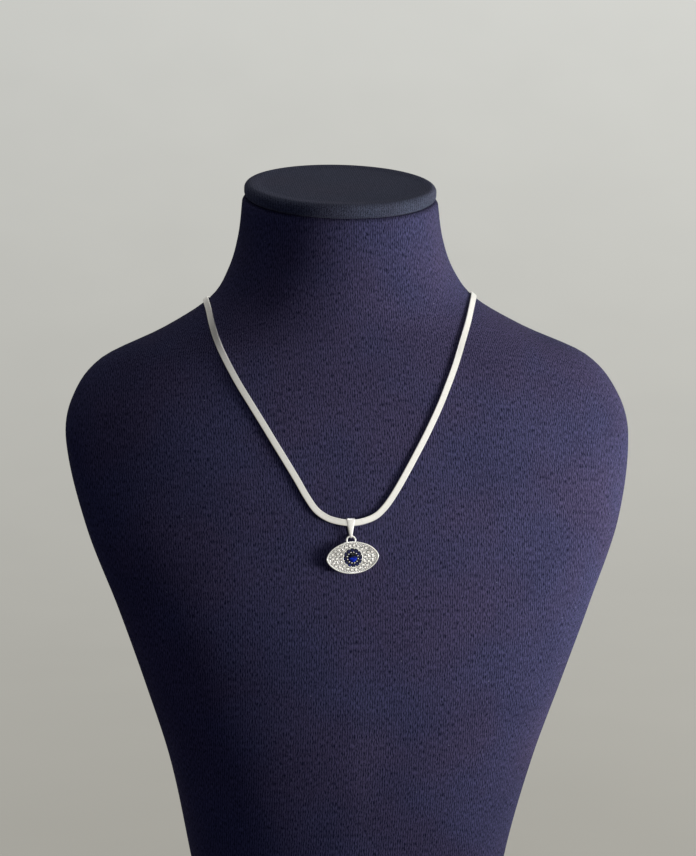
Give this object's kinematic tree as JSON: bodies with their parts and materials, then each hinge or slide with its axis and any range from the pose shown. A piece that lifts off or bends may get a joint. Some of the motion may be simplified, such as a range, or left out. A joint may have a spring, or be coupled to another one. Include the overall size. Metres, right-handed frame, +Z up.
{
  "type": "eye necklace on neck bust",
  "caption": "Flat woven silver chain with a stone-set evil-eye drop on a bail, laid round a cloth-covered neck bust with a flat covered cap.",
  "frame": {"origin": "middle of the bust's footprint, on the surface that it stands on", "axes": "+Z up along the bust, -Y out of the chest towards the viewer, +X to the viewer's right"},
  "size_m": [0.2182, 0.1046, 0.303],
  "materials": {
    "bust_cloth": "fine navy cloth with a short upright grain, stretched over the bust",
    "cap_cloth": "the same navy cloth over a stiff disc",
    "chain_silver": "polished silver-coloured links woven flat",
    "clasp_silver": "polished silver-coloured metal",
    "bail_silver": "polished silver-coloured strip",
    "frame_silver": "polished silver-coloured casting with bead prongs",
    "pupil_blue": "faceted royal blue stone",
    "iris_blue": "faceted dark blue stones",
    "white_stone": "faceted clear white stones"
  },
  "bodies": {
    "root": {"bust_form": "bust_cloth", "neck_cap": "cap_cloth", "chain_band": "chain_silver", "clasp": "clasp_silver", "bail": "bail_silver", "eye_frame": "frame_silver", "pupil_stone": "pupil_blue", "iris_stone_01": "iris_blue", "iris_stone_02": "iris_blue", "iris_stone_03": "iris_blue", "iris_stone_04": "iris_blue", "iris_stone_05": "iris_blue", "iris_stone_06": "iris_blue", "iris_stone_07": "iris_blue", "iris_stone_08": "iris_blue", "iris_stone_09": "iris_blue", "iris_stone_10": "iris_blue", "iris_stone_11": "iris_blue", "iris_stone_12": "iris_blue", "pave_stones": "white_stone"}
  },
  "joints": []
}
